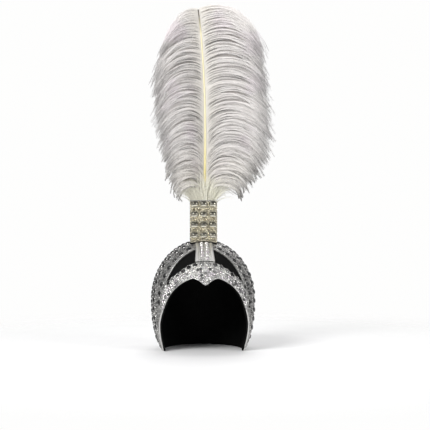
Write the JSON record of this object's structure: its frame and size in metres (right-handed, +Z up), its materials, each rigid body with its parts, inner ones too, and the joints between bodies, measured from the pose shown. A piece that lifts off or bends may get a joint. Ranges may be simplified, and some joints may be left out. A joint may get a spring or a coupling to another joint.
{
  "type": "feather headdress",
  "caption": "Stiff stage helmet with a face opening, silver stone-set crown and brow band, and an upright sleeve holding a tall ostrich plume.",
  "frame": {"origin": "middle of the whole object's outer box, on the surface that the helmet's rim stands on", "axes": "+Z up along the plume, -Y the way the wearer faces, +X the wearer's left"},
  "size_m": [0.2072, 0.2012, 0.5731],
  "materials": {
    "black_base": "stiffened black cloth",
    "silver_stones": "silver foil cloth set with square cut stones",
    "silver_panel": "silver foil cloth",
    "brow_stones": "bright silver set with small clear stones",
    "holder_panel": "champagne glitter",
    "champagne_stone": "cut stone with a foiled back",
    "quill": "pale horn of a feather's shaft",
    "feather": "white ostrich barbs with a faint grey-lilac cast"
  },
  "bodies": {
    "root": {"base_cap": "black_base", "crown_cover": "silver_stones", "back_cover": "silver_panel", "brow_band": "brow_stones", "centre_bar": "brow_stones", "plume_holder": "holder_panel", "holder_stone_1": "champagne_stone", "holder_stone_2": "champagne_stone", "holder_stone_3": "champagne_stone", "holder_stone_4": "champagne_stone", "holder_stone_5": "champagne_stone", "holder_stone_6": "champagne_stone", "holder_stone_7": "champagne_stone", "holder_stone_8": "champagne_stone", "holder_stone_9": "champagne_stone", "holder_stone_10": "champagne_stone", "holder_stone_11": "champagne_stone", "holder_stone_12": "champagne_stone", "plume_quill": "quill", "plume_vane": "feather"}
  },
  "joints": []
}
